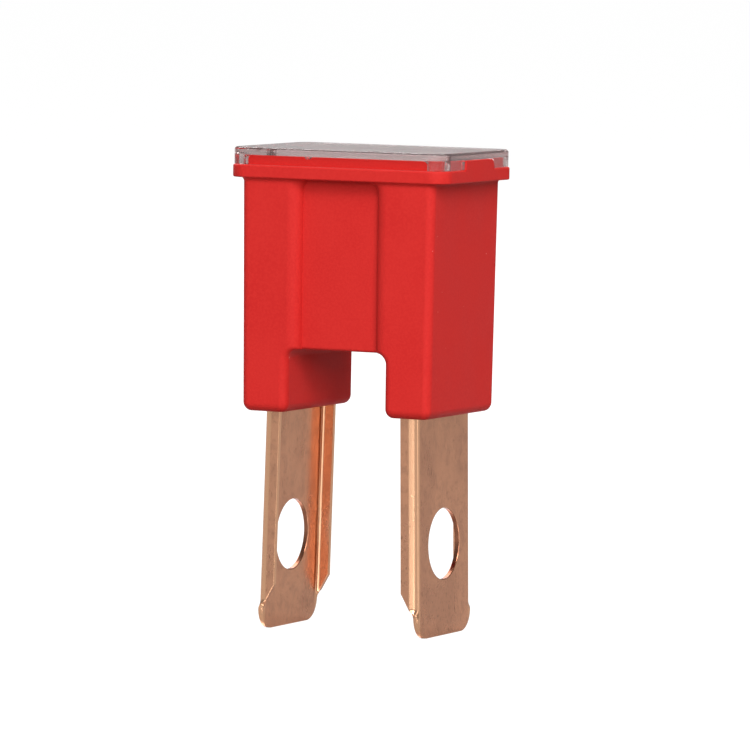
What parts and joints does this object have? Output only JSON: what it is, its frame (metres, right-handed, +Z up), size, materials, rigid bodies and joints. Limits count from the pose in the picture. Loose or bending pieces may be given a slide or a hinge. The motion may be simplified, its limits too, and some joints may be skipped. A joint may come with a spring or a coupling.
{
  "type": "main fuse",
  "caption": "Bolt-in main fuse: a notched plastic housing with a clear cover, on two folded copper blades that each take a bolt.",
  "frame": {"origin": "middle of the fuse, at the level of the blade tips", "axes": "+Z up from the blade tips to the cover, X across the two blades, -Y the front with the gate mark on the cover"},
  "size_m": [0.0186, 0.013, 0.0372],
  "materials": {
    "red_plastic": "moulded, satin gloss",
    "clear_plastic": "clear, polished",
    "copper_sheet": "rolled sheet, satin",
    "tin": "dull"
  },
  "bodies": {
    "root": {"housing": "red_plastic", "cover": "clear_plastic", "fuse_element": "copper_sheet", "tin_pellet": "tin"}
  },
  "joints": []
}
